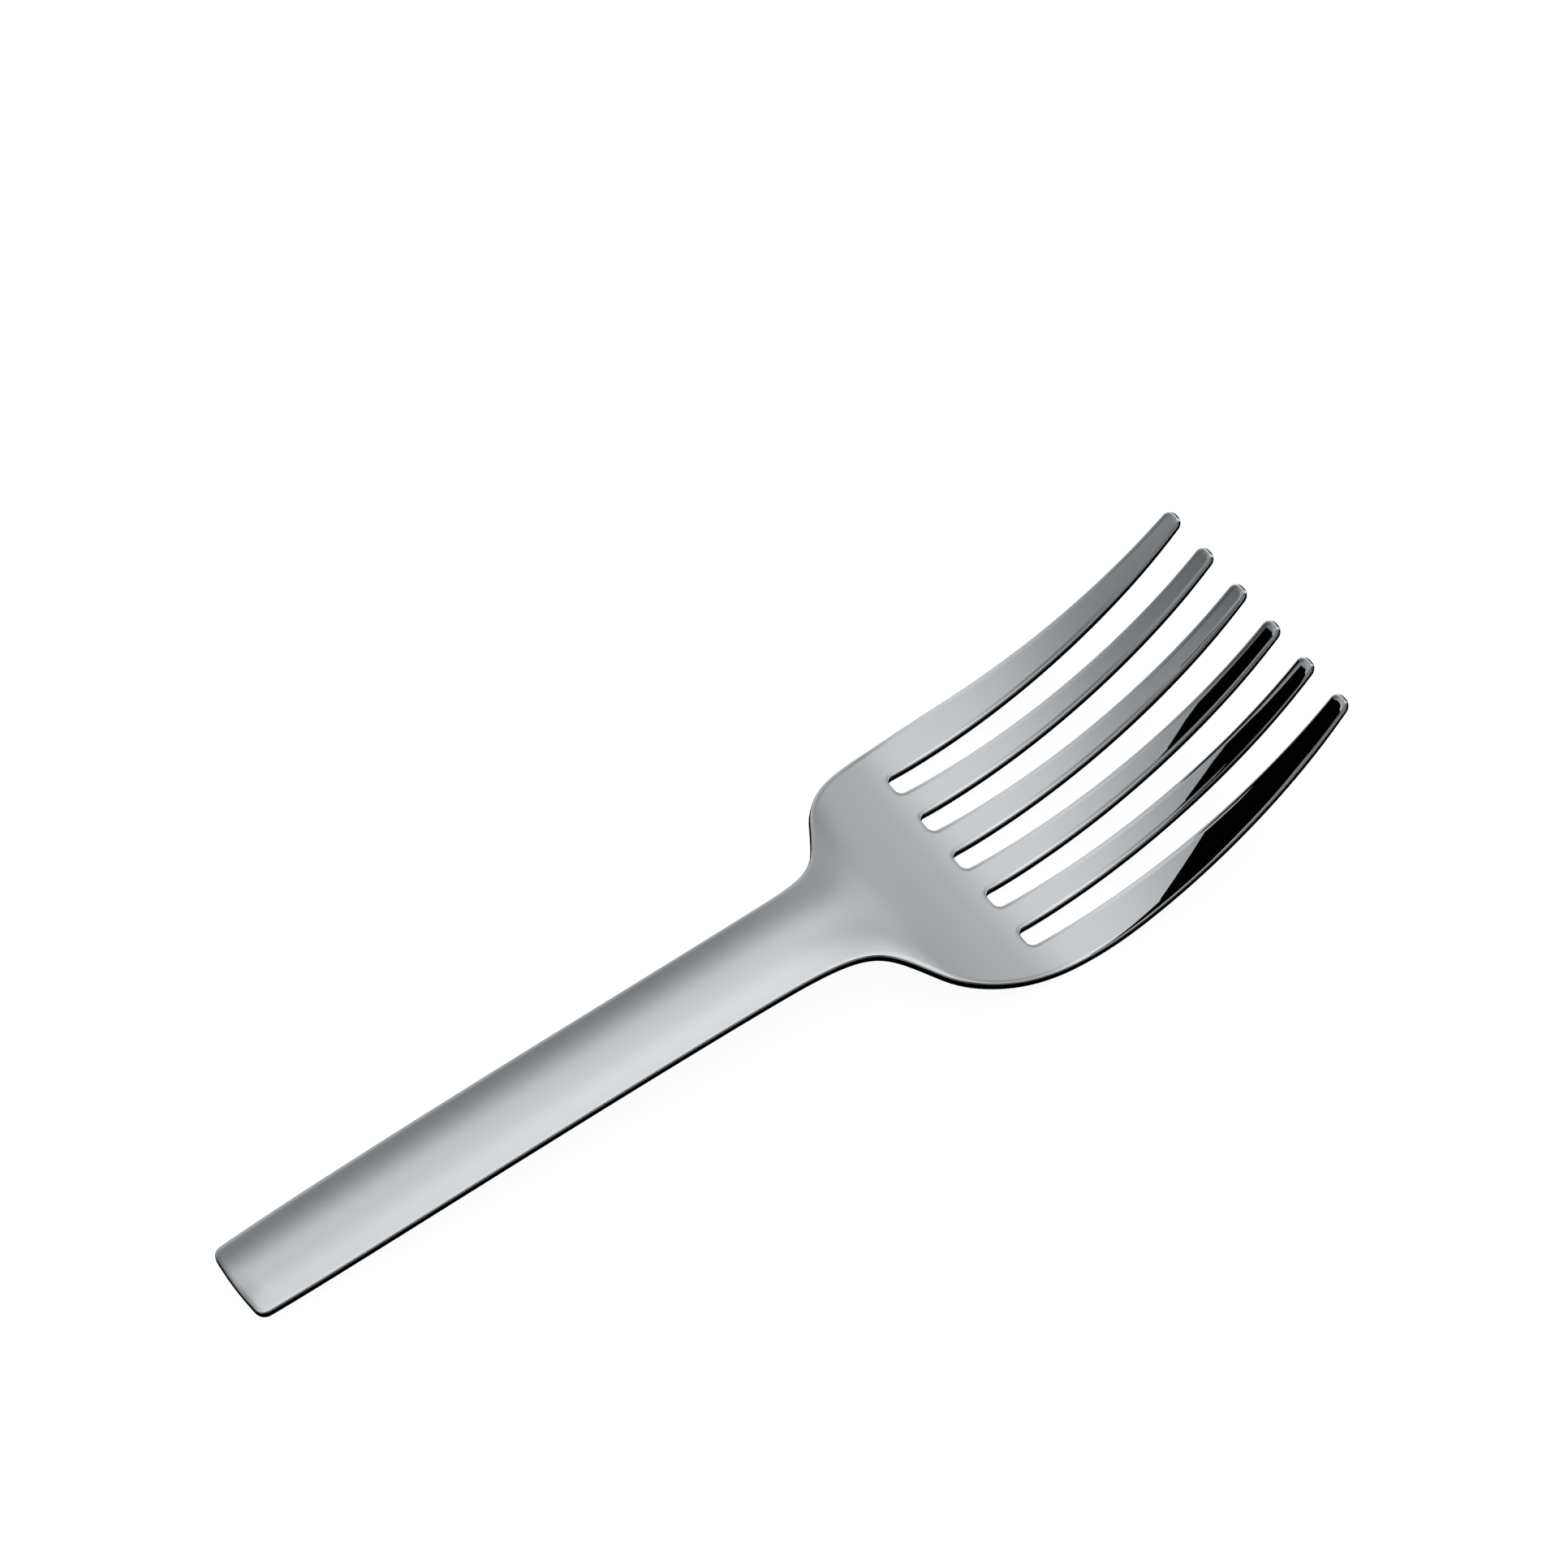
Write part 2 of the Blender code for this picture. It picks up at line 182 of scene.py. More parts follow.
# Black flags that hang over the right tines, which mirror them: the middle of their plane, the direction
# that it faces, and the corners of each flag in it.
FLAG_MIDDLE = (0.0103, 0.0975, 0.0400)
FLAG_FACING = (-0.437, -0.589, 0.680)
FLAGS = {
    "right_tines_flag": [
        (-0.0113, 0.0072), (-0.0079, 0.0015), (-0.0067, -0.0010), (-0.0051, -0.0033),
        (-0.0030, -0.0052), (0.0017, -0.0086), (0.0030, -0.0089), (0.0060, -0.0088),
        (0.0050, -0.0068), (0.0016, -0.0016), (0.0018, -0.0009), (0.0052, -0.0012),
        (0.0066, -0.0022), (0.0088, -0.0044), (0.0182, -0.0085), (0.0225, -0.0082),
        (0.0250, -0.0083), (0.0295, -0.0095), (0.0320, -0.0120), (0.0335, -0.0100),
        (0.0265, 0.0000), (0.0235, 0.0037), (0.0190, 0.0053), (0.0165, 0.0076),
        (0.0145, 0.0088), (0.0122, 0.0094), (0.0113, 0.0123), (0.0097, 0.0146),
        (0.0084, 0.0143), (0.0016, 0.0108), (-0.0044, 0.0099), (-0.0088, 0.0080)],
    "fourth_tine_flag": [
        (-0.0226, 0.0042), (-0.0206, 0.0005), (-0.0155, -0.0076), (-0.0133, -0.0097),
        (-0.0094, -0.0125), (-0.0066, -0.0132), (-0.0058, -0.0115), (-0.0158, 0.0048),
        (-0.0159, 0.0069), (-0.0200, 0.0050)],
    "third_tine_flag": [
        (-0.0266, 0.0045), (-0.0255, -0.0045), (-0.0232, -0.0092), (-0.0218, -0.0090),
        (-0.0240, -0.0040), (-0.0256, 0.0020), (-0.0259, 0.0045)],
}

# A long flag of gauze that stands on edge at the handle's left: its distance from the fork's middle line,
# its two ends, its height, the share of the light that it takes away at most, the colour that it would
# let through if it took all of it, the height where it takes most and how far that spreads, and the
# place along the fork where it ends and how softly it does.
SIDE_FLAG_X = -0.072
SIDE_FLAG_ENDS = (-0.60, 0.14)
SIDE_FLAG_TOP = 0.18
SIDE_FLAG_SHADE = 0.748
SIDE_FLAG_COLOUR = (0.0, 0.014, 0.030, 1.0)
SIDE_FLAG_HEIGHT = 0.0663
SIDE_FLAG_SPREAD = 0.0319
SIDE_FLAG_FRONT = 0.0547
SIDE_FLAG_FADE = 0.0128

# The floor lies a little under the fork, and its paint bounces light. Where it is seen or mirrored, a
# darker paint takes the shadow and a glow makes it white. A black card lies on it, for the steel alone.
FLOOR_DROP = 0.0006
FLOOR_SIDE = 6.0
FLOOR_PAINT = 0.8
FLOOR_SEEN_PAINT = 0.12
FLOOR_GLOW = 0.955
GROUND_CARD_SIDES = (0.60, 0.68)
CARD_BLACK = 0.002

WHITE = (1.0, 1.0, 1.0, 1.0)
SQUARE = [(-0.5, -0.5), (0.5, -0.5), (0.5, 0.5), (-0.5, 0.5)]


def smooth_step(value):
    """Ease from 0 to 1 while the value runs from 0 to 1."""
    share = min(max(value, 0.0), 1.0)
    return share * share * (3.0 - 2.0 * share)


def corner_inset(distance, radius):
    """How far a rounded corner stands back from a side, at a distance from the corner's end."""
    if distance >= radius:
        return 0.0
    reach = radius - max(distance, 0.0)
    return radius - math.sqrt(radius * radius - reach * reach)


def bezier(start, start_angle, start_pull, end, end_angle, end_pull, points=160):
    """Curve from start to end with the given tangents, whose pulls are shares of the chord."""
    start, end = np.array(start), np.array(end)
    chord = np.linalg.norm(end - start)
    leave = start + chord * start_pull * np.array([math.cos(start_angle), math.sin(start_angle)])
    arrive = end - chord * end_pull * np.array([math.cos(end_angle), math.sin(end_angle)])
    t = np.linspace(0.0, 1.0, points)[:, None]
    return ((1 - t) ** 3 * start + 3 * (1 - t) ** 2 * t * leave
            + 3 * (1 - t) * t ** 2 * arrive + t ** 3 * end)


def side_curve():
    """The blank's side as points of station and half width, from the handle's end to the tips."""
    end = (0.0, HANDLE_END_WIDTH / 2)
    neck = (NECK_STATION, NECK_WIDTH / 2)
    shoulder = (SHOULDER_STATION, SHOULDER_WIDTH / 2)
    widest = (WIDEST_STATION, HEAD_WIDTH / 2)
    tip = (TIP_STATION, TIPS_WIDTH / 2)
    return np.vstack([
        bezier(end, HANDLE_END_FLARE, HANDLE_END_PULL, neck, NECK_FLARE, HANDLE_NECK_PULL),
        bezier(neck, NECK_FLARE, NECK_PULL, shoulder, SHOULDER_FLARE, SHOULDER_BACK_PULL),
        bezier(shoulder, SHOULDER_FLARE, SHOULDER_FRONT_PULL, widest, 0.0, BOWL_PULL),
        bezier(widest, 0.0, HEAD_PULL, tip, TIPS_TAPER, TIPS_PULL),
    ])


SIDE = side_curve()


def half_width(station):
    """Half of the blank's width, with the rounded corners of the handle's end."""
    return np.interp(station, SIDE[:, 0], SIDE[:, 1]) - corner_inset(station, HANDLE_END_CORNER)


def along_tines(station):
    """Share of the way from the slots' ends to the tips."""
    return (station - ROOT_STATION) / TINE_LENGTH


def slot_centre(slot, station):
    """Cross position of a slot's middle. Slot 0 lies between tines 0 and 1."""
    pitch = PITCH_AT_ROOT + (PITCH_AT_TIP - PITCH_AT_ROOT) * along_tines(station)
    return (slot - (TINE_COUNT - 2) / 2) * pitch


def slot_half_width(station):
    """Half of a slot's width, which narrows to its rounded end."""
    width = SLOT_WIDTH_AT_ROOT + (SLOT_WIDTH_AT_TIP - SLOT_WIDTH_AT_ROOT) * along_tines(station)
    return width / 2 - corner_inset(station - ROOT_STATION, ROOT_ROUNDING)


def tine_sides(tine, station):
    """Cross positions of a tine's left and right sides."""
    left, right = -half_width(station), half_width(station)
    if tine > 0:
        left = slot_centre(tine - 1, station) + slot_half_width(station)
    if tine < TINE_COUNT - 1:
        right = slot_centre(tine, station) - slot_half_width(station)
    inset = corner_inset(TIP_STATION - station, TIP_ROUNDING)
    return left + inset, right - inset


def sheet_thickness(station):
    """Thickness at the rim: the full sheet, drawn thinner along the tines and at their tips."""
    drawn = SHEET + (TINE_SHEET - SHEET) * smooth_step(along_tines(station))
    to_tip = (TIP_STATION - station) / TIP_THINNING_LENGTH
    return TIP_SHEET + (drawn - TIP_SHEET) * math.sin(min(max(to_tip, 0.0), 1.0) * math.pi / 2)


def end_bow(across):
    """How far the handle's end bows out, at a share of the way from the middle to the side."""
    return HANDLE_END_BOW * (1.0 - across * across)


def across_and_along(point):
    """Share of the way from the middle to the side, and distance from the handle's end."""
    across = min(abs(point[0]) / half_width(max(point[1], HANDLE_END_CORNER)), 1.0)
    return across, max(point[1] + end_bow(across), 0.0)


def crown(point):
    """Height of the top face over its edges: full along the handle, and gone in the head."""
    across, from_end = across_and_along(point)
    rise = 1.0 - (1.0 - CROWN_END_SHARE) * (1.0 - min(from_end / CROWN_END_LENGTH, 1.0)) ** 2
    fade = smooth_step((SHOULDER_STATION + CROWN_RUN_ON - point[1]) / CROWN_FADE_LENGTH)
    return HANDLE_CROWN * rise * fade * (1.0 - across * across)


def end_hollow(point):
    """Height of the hollow under the handle's end, where the underside follows the crown."""
    across, from_end = across_and_along(point)
    fade = 1.0 - smooth_step(from_end / END_HOLLOW_LENGTH)
    return HANDLE_CROWN * CROWN_END_SHARE * fade * (1.0 - across * across)


def top_section(turn):
    """Distance from the edge and depth of the top rim, as it turns from the face at -1 to the wall at 1."""
    if turn < 0.0:
        distance, drop = EDGE_ROUND - turn * (ROLL_WIDTH - EDGE_ROUND), 0.0
    else:
        angle = turn * math.pi / 2
        distance, drop = EDGE_ROUND * (1.0 - math.sin(angle)), EDGE_ROUND * (1.0 - math.cos(angle))
    return distance, drop + ROLL_DROP * (1.0 - distance / ROLL_WIDTH) ** 2


def under_section(turn):
    """Distance from the edge and height over the underside, from the wall at 0 to the underside at 1."""
    angle = turn * math.pi / 2
    return UNDER_RIM * (1.0 - math.cos(angle)), UNDER_RIM * (1.0 - math.sin(angle))


def bend_line():
    """Station, forward position, height and slope along the bent top face."""
    tine_bend_station = BOWL_BEND_STATION + BOWL_BEND_RADIUS * BOWL_BEND
    end_station = TIP_STATION + 2 * BEND_EASE
    knots = [0.0, NECK_BEND_STATION, BOWL_BEND_STATION, tine_bend_station, end_station]
    turns = [-NECK_BEND_STATION / HANDLE_ARCH_RADIUS, -NECK_BEND, BOWL_BEND,
             (end_station - tine_bend_station) / TINE_BEND_RADIUS]
    slopes = np.concatenate([[0.0], np.cumsum(turns)])
    station = np.arange(-2 * BEND_EASE, end_station, BEND_STEP)
    slope = np.interp(station, knots, slopes)
    window = np.ones(int(round(2 * BEND_EASE / BEND_STEP)) | 1)
    eased = np.convolve(slope, window / window.size, mode="same")
    eased[station < BEND_EASE] = eased[station >= BEND_EASE][0]
    forward = np.concatenate([[0.0], np.cumsum(np.cos((eased[1:] + eased[:-1]) / 2))]) * BEND_STEP
    height = np.concatenate([[0.0], np.cumsum(np.sin((eased[1:] + eased[:-1]) / 2))]) * BEND_STEP
    return station, forward, height, eased


BEND = bend_line()


def bend(station, depth):
    """Forward position and height of a point at a depth under the bent top face."""
    forward, height, slope = (np.interp(station, BEND[0], values) for values in BEND[1:])
    return forward + depth * math.sin(slope), height - depth * math.cos(slope)


def ground_tangent():
    """Middle of the belly's flat and the slope of the ground, seen in the bent frame."""
    heel = bend(UNDER_RIM - HANDLE_END_BOW, SHEET)
    low, high = SHOULDER_STATION, TIP_STATION - BELLY_FLAT
    for _ in range(TANGENT_STEPS):
        middle = (low + high) / 2
        back = bend(middle - BELLY_FLAT / 2, sheet_thickness(middle - BELLY_FLAT / 2))
        front = bend(middle + BELLY_FLAT / 2, sheet_thickness(middle + BELLY_FLAT / 2))
        flat_slope = math.atan2(front[1] - back[1], front[0] - back[0])
        ground_slope = math.atan2(back[1] - heel[1], back[0] - heel[0])
        if flat_slope < ground_slope:
            low = middle
        else:
            high = middle
    return ground_slope, heel


GROUND_SLOPE, HEEL = ground_tangent()


def place(point, depth):
    """Bent and seated position of a blank point, given as its cross position and station."""
    forward, height = bend(point[1], depth)
    forward, height = forward - HEEL[0], height - HEEL[1]
    turn_cos, turn_sin = math.cos(GROUND_SLOPE), math.sin(GROUND_SLOPE)
    return point[0], forward * turn_cos + height * turn_sin, height * turn_cos - forward * turn_sin


def stations():
    """Rows of the mesh: those behind the slots' ends, and those along the tines."""
    steps = [1 - math.cos(math.pi / 2 * row / CORNER_ROWS) for row in range(CORNER_ROWS + 1)]
    heel = [HANDLE_END_CORNER * step for step in steps]
    last = ROOT_STATION - 2 * ROLL_WIDTH
    plate_rows = math.ceil((last - HANDLE_END_CORNER) / PLATE_ROW_STEP)
    plate = list(np.linspace(HANDLE_END_CORNER, last, plate_rows + 1)[1:]) + [ROOT_STATION]
    root = [ROOT_STATION + ROOT_ROUNDING * step for step in steps[1:]]
    tip = [TIP_STATION - TIP_ROUNDING * step for step in steps[::-1]]
    tine_rows = math.ceil((tip[0] - root[-1]) / TINE_ROW_STEP)
    tines = list(np.linspace(root[-1], tip[0], tine_rows + 1)[1:-1])
    return heel + plate, root + tines + tip


def bridge(row_before, row):
    """Four-sided faces between two rows, with their corners anticlockwise from above."""
    return [(row_before[i], row_before[i + 1], row[i + 1], row[i]) for i in range(len(row) - 1)]


def lay_out_blank():
    """Plan of the blank: points of cross position and station, its rows of points, and its faces."""
    plate_rows, tine_stations = stations()
    columns, tines = [], []
    for tine in range(TINE_COUNT):
        left, right = tine_sides(tine, ROOT_STATION)
        tines.append(range(len(columns), len(columns) + TINE_CELLS + 1))
        columns += list(np.linspace(left, right, TINE_CELLS + 1))
    shares = np.array(columns) / half_width(ROOT_STATION)

    points, rows, faces = [], [], []
    for station in plate_rows:
        bow_fade = 1.0 - smooth_step(station / HANDLE_END_WIDTH)
        row = range(len(points), len(points) + len(shares))
        points += [(share * half_width(station), station - bow_fade * end_bow(share))
                   for share in shares]
        if rows:
            faces += bridge(rows[-1], row)
        rows.append(row)
    root_row = row
    for tine, root_columns in enumerate(tines):
        row_before = [root_row[column] for column in root_columns]
        for station in tine_stations:
            row = range(len(points), len(points) + TINE_CELLS + 1)
            points += [(x, station) for x in np.linspace(*tine_sides(tine, station), TINE_CELLS + 1)]
            faces += bridge(row_before, row)
            rows.append(row)
            row_before = row
    return np.array(points), rows, faces


def rim_loop(faces):
    """The blank's edge as one closed loop of point numbers, anticlockwise from above."""
    sides = {(face[i - 1], face[i]) for face in faces for i in range(4)}
    following = {start: end for start, end in sides if (end, start) not in sides}
    loop = [min(following)]
    while following[loop[-1]] != loop[0]:
        loop.append(following[loop[-1]])
    return loop


def outward_normals(points):
    """Outward direction at each point of a closed loop, longer where the loop turns."""
    edge = np.roll(points, -1, axis=0) - points
    edge /= np.linalg.norm(edge, axis=1)[:, None]
    side = np.column_stack([edge[:, 1], -edge[:, 0]])
    normal = side + np.roll(side, 1, axis=0)
    return normal / (1.0 + np.sum(side * np.roll(side, 1, axis=0), axis=1))[:, None]


def moved_in(points, rows, loop, outward, distance):
    """The plan points moved in from the edge: the edge by a distance, and each row between its ends."""
    place_in_loop = {number: place_there for place_there, number in enumerate(loop)}
    moved = points.copy()
    for row in rows:
        across = points[row, 0]
        edge = [i for i, number in enumerate(row) if number in place_in_loop]
        shift = np.array([-distance * outward[place_in_loop[row[i]]] for i in edge])
        moved[row, 0] += np.interp(across, across[edge], shift[:, 0])
        moved[row, 1] += np.interp(across, across[edge], shift[:, 1])
    return moved


def top_depth(point):
    return -crown(point)


def under_depth(point):
    return sheet_thickness(point[1]) - end_hollow(point)


def unit(vectors):
    return vectors / np.linalg.norm(vectors, axis=1)[:, None]


def face_normals(plan, depth):
    """Normals of a face that lies at a depth given for each plan point, on its upper side."""
    normals = []
    for x, station in plan:
        beside = ((x, station + NORMAL_STEP), (x, station - NORMAL_STEP),
                  (x + NORMAL_STEP, station), (x - NORMAL_STEP, station))
        ahead, behind, right, left = (np.array(place(point, depth(point))) for point in beside)
        normals.append(np.cross(right - left, ahead - behind))
    return unit(np.array(normals))


def ring(edge, outward, distance, depth):
    """The places on one line round the rim, at a distance from the edge and each point's depth there."""
    return np.array([place(point, depth(point)) for point in edge - distance * outward])


def ring_normals(line, outer_line, inner_line):
    """Normals along a closed line round the rim, from the lines on both sides of it."""
    ahead = np.roll(line, -1, axis=0) - line
    behind = np.roll(ahead, 1, axis=0)
    ahead_length = np.linalg.norm(ahead, axis=1)[:, None]
    behind_length = np.roll(ahead_length, 1, axis=0)
    along = ahead * behind_length / ahead_length + behind * ahead_length / behind_length
    return unit(np.cross(outer_line - inner_line, along))


def top_ring(edge, outward, turn):
    distance, drop = top_section(turn)
    return ring(edge, outward, distance, lambda point: drop - crown(point))


def under_ring(edge, outward, turn):
    distance, rise = under_section(turn)
    return ring(edge, outward, distance, lambda point: under_depth(point) - rise)


def rim_lines():
    """The lines round the rim, from the top down: what makes each, its turn and its share of the rim."""
    turns = [-1.0 + row / ROLL_ROWS for row in range(1, ROLL_ROWS)]
    turns += [row / ROUND_ROWS for row in range(ROUND_ROWS + 1)]
    top = [(top_ring, turn, max(turn, 0.0)) for turn in turns]
    return top + [(under_ring, row / UNDER_RIM_ROWS, 1.0) for row in range(UNDER_RIM_ROWS)]


def build_fork_mesh():
    """The closed skin: corners, normals, faces, and the station and the rim's share of each corner."""
    points, rows, faces = lay_out_blank()
    loop = rim_loop(faces)
    edge = points[loop]
    outward = outward_normals(edge)
    count = len(points)

    top_plan = moved_in(points, rows, loop, outward, ROLL_WIDTH)
    under_plan = moved_in(points, rows, loop, outward, UNDER_RIM)
    corners = [np.array([place(point, top_depth(point)) for point in top_plan]),
               np.array([place(point, under_depth(point)) for point in under_plan])]
    normals = [face_normals(top_plan, top_depth), -face_normals(under_plan, under_depth)]
    corner_stations = [top_plan[:, 1], under_plan[:, 1]]
    rim = [np.zeros(2 * count)]

    lines = [loop]
    for make, turn, rim_share in rim_lines():
        line = make(edge, outward, turn)
        outer = make(edge, outward, min(turn + NORMAL_TURN, 1.0))
        inner = make(edge, outward, turn - NORMAL_TURN)
        first = sum(len(part) for part in corners)
        lines.append(range(first, first + len(loop)))
        corners.append(line)
        normals.append(ring_normals(line, outer, inner))
        corner_stations.append(edge[:, 1])
        rim.append(np.full(len(loop), rim_share))
    lines.append([number + count for number in loop])

    polygons = [list(face) for face in faces]
    polygons += [[number + count for number in reversed(face)] for face in faces]
    for upper, lower in zip(lines[:-1], lines[1:]):
        polygons += [[upper[i - 1], lower[i - 1], lower[i], upper[i]] for i in range(len(loop))]
    corners = np.vstack(corners)
    corners[:, 1] -= (corners[:, 1].min() + corners[:, 1].max()) / 2
    return corners, np.vstack(normals), polygons, np.concatenate(corner_stations), np.concatenate(rim)


class Nodes:
    """Short way to add and join the nodes of one material or world."""

    def __init__(self, tree):
        self.tree = tree
        tree.nodes.clear()

    def add(self, kind, **settings):
        node = self.tree.nodes.new(kind)
        for name, value in settings.items():
            if isinstance(value, bpy.types.NodeSocket):
                self.tree.links.new(value, node.inputs[name])
            elif name in node.inputs:
                node.inputs[name].default_value = value
            else:
                setattr(node, name, value)
        return node

    def math(self, operation, first, second=0.0, third=0.0):
        node = self.tree.nodes.new("ShaderNodeMath")
        node.operation = operation
        for socket, value in zip(node.inputs, (first, second, third)):
            if isinstance(value, bpy.types.NodeSocket):
                self.tree.links.new(value, socket)
            else:
                socket.default_value = value
        return node.outputs[0]

    def link(self, output, node, socket):
        self.tree.links.new(output, node.inputs[socket])

    def finish(self, shader, kind="ShaderNodeOutputMaterial"):
        """Join the last shader to the output."""
        self.link(shader.outputs[0], self.add(kind), "Surface")

    def mix_shader(self, share, first, second):
        """The second shader in place of the first, by a share."""
        mix = self.add("ShaderNodeMixShader")
        for socket, output in enumerate((share, first.outputs[0], second.outputs[0])):
            self.link(output, mix, socket)
        return mix


def new_material(name):
    """An empty node material, with its nodes ready to add to."""
    material = bpy.data.materials.new(name)
    material.use_nodes = True
    return material, Nodes(material.node_tree)


def grey(level):
    """The colour of a plain grey, from 0 for black to 1 for white."""
    return (level, level, level, 1.0)


def steel_material():
    """Stainless steel: finely brushed on the handle, polished towards the tines and on the rims."""
    material, nodes = new_material("stainless_steel")
    place_on_fork = nodes.add("ShaderNodeTexCoord").outputs["Object"]
    polish = nodes.add("ShaderNodeAttribute", attribute_name="polish").outputs["Fac"]
    rim = nodes.add("ShaderNodeAttribute", attribute_name="rim").outputs["Fac"]
    shine = nodes.math("MAXIMUM", polish, nodes.math("MULTIPLY", rim, RIM_POLISH))
    brushed = nodes.add("ShaderNodeMapping", Vector=place_on_fork, Scale=BRUSHING_SCALE).outputs[0]
    lines = nodes.add("ShaderNodeTexNoise", Vector=brushed, Scale=1.0, Detail=4.0, Roughness=0.6)
    clouds = nodes.add("ShaderNodeTexNoise", Vector=place_on_fork, Scale=CLOUD_SCALE,
                       Detail=3.0, Roughness=0.5)
    satin = SATIN_ROUGHNESS
    for texture, depth in ((lines, BRUSHING_ROUGHNESS), (clouds, CLOUD_ROUGHNESS)):
        away = nodes.math("SUBTRACT", texture.outputs["Fac"], 0.5)
        satin = nodes.math("MULTIPLY_ADD", away, depth, satin)
    finishes = {"To Min": satin, "To Max": POLISHED_ROUGHNESS}
    roughness = nodes.add("ShaderNodeMapRange", Value=shine, **finishes).outputs[0]
    height = nodes.math("MULTIPLY", lines.outputs["Fac"], nodes.math("SUBTRACT", 1.0, shine))
    bump = nodes.add("ShaderNodeBump", Height=height, Strength=BRUSHING_BUMP, Distance=BRUSHING_DEPTH)
    steel = nodes.add("ShaderNodeBsdfPrincipled", Metallic=1.0, Roughness=roughness, Normal=bump.outputs[0])
    steel.inputs["Base Color"].default_value = (*STEEL, 1.0)
    nodes.finish(steel)
    return material


def add_fork():
    """The smooth fork, which stands for the solid's node."""
    corners, normals, polygons, corner_stations, rim = build_fork_mesh()
    data = bpy.data.meshes.new("steel_fork")
    data.from_pydata(corners.tolist(), [], polygons)
    data.shade_smooth()
    data.normals_split_custom_set_from_vertices(normals.tolist())
    polishing_length = ROOT_STATION - NECK_STATION
    polish = [smooth_step((station - NECK_STATION) / polishing_length) for station in corner_stations]
    for name, values in (("polish", polish), ("rim", rim)):
        data.attributes.new(name, "FLOAT", "POINT").data.foreach_set("value", values)
    data.materials.append(steel_material())
    fork = bpy.data.objects.new("steel_fork", data)
    bpy.context.scene.collection.objects.link(fork)
    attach(fork, "root")
    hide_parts("serving_fork")


def flat_panel(name, corners, material):
    """A flat panel of the studio, with its corners in order."""
    data = bpy.data.meshes.new(name)
    data.from_pydata([tuple(corner) for corner in corners], [], [tuple(range(len(corners)))])
    data.materials.append(material)
    panel = bpy.data.objects.new(name, data)
    bpy.context.scene.collection.objects.link(panel)
    return panel


def hung_panel(name, middle, facing, corners, material):
    """A flat panel that hangs in the air, with its corners to its right and up from its middle."""
    facing = Vector(facing).normalized()
    right = Vector((0.0, 0.0, 1.0)).cross(facing).normalized()
    up = facing.cross(right)
    return flat_panel(name, [Vector(middle) + right * x + up * y for x, y in corners], material)


def reflection_only(panel):
    """The panel shows in polished surfaces, and neither to the camera nor as a shadow."""
    panel.visible_camera = panel.visible_diffuse = panel.visible_shadow = False
    panel.visible_transmission = panel.visible_volume_scatter = False


def floor_material():
    """White for the camera and in reflections, with the faint shadow of what stands on it."""
    material, nodes = new_material("white_floor")
    path = nodes.add("ShaderNodeLightPath").outputs
    mirrored = nodes.math("MAXIMUM", path["Is Glossy Ray"], path["Is Transmission Ray"])
    seen = nodes.math("MAXIMUM", path["Is Camera Ray"], mirrored)
    paint = nodes.add("ShaderNodeBsdfDiffuse", Color=grey(FLOOR_PAINT))
    shaded = nodes.add("ShaderNodeBsdfDiffuse", Color=grey(FLOOR_SEEN_PAINT))
    glow = nodes.add("ShaderNodeEmission", Color=WHITE, Strength=FLOOR_GLOW)
    both = nodes.add("ShaderNodeAddShader")
    nodes.link(shaded.outputs[0], both, 0)
    nodes.link(glow.outputs[0], both, 1)
    nodes.finish(nodes.mix_shader(seen, paint, both))
    return material


def black_material():
    """Black card."""
    material, nodes = new_material("black_card")
    nodes.finish(nodes.add("ShaderNodeBsdfDiffuse", Color=grey(CARD_BLACK)))
    return material


def side_flag_material():
    """Gauze that takes most light away at one height and fades out above, below and towards the head."""
    material, nodes = new_material("side_flag")
    coordinates = nodes.add("ShaderNodeTexCoord").outputs["Object"]
    along = nodes.add("ShaderNodeSeparateXYZ", Vector=coordinates).outputs
    above = nodes.math("DIVIDE", nodes.math("SUBTRACT", along["Z"], SIDE_FLAG_HEIGHT), SIDE_FLAG_SPREAD)
    band = nodes.math("EXPONENT", nodes.math("MULTIPLY", nodes.math("MULTIPLY", above, above), -0.5))
    beyond = nodes.math("DIVIDE", nodes.math("SUBTRACT", along["Y"], SIDE_FLAG_FRONT), SIDE_FLAG_FADE)
    reach = nodes.math("DIVIDE", 1.0, nodes.math("ADD", nodes.math("EXPONENT", beyond), 1.0))
    shade = nodes.math("MULTIPLY", nodes.math("MULTIPLY", band, reach), SIDE_FLAG_SHADE)
    colour = nodes.add("ShaderNodeMixRGB", Fac=shade, Color1=WHITE, Color2=SIDE_FLAG_COLOUR)
    nodes.finish(nodes.add("ShaderNodeBsdfTransparent", Color=colour.outputs[0]))
    return material


def add_floor():
    """The floor."""
    corners = [(x * FLOOR_SIDE, y * FLOOR_SIDE, -FLOOR_DROP) for x, y in SQUARE]
    flat_panel("floor", corners, floor_material())


def add_cards():
    """The black card under the fork, and the flags, which show in the steel alone."""
    black = black_material()
    width, length = GROUND_CARD_SIDES
    ground = [(x * width, y * length, -FLOOR_DROP / 2) for x, y in SQUARE]
    reflection_only(flat_panel("ground_card", ground, black))
    back, front = SIDE_FLAG_ENDS
    side = [(back, 0.0), (front, 0.0), (front, SIDE_FLAG_TOP), (back, SIDE_FLAG_TOP)]
    side = [(SIDE_FLAG_X, y, z) for y, z in side]
    reflection_only(flat_panel("side_flag", side, side_flag_material()))
    for name, corners in FLAGS.items():
        reflection_only(hung_panel(name, FLAG_MIDDLE, FLAG_FACING, corners, black))


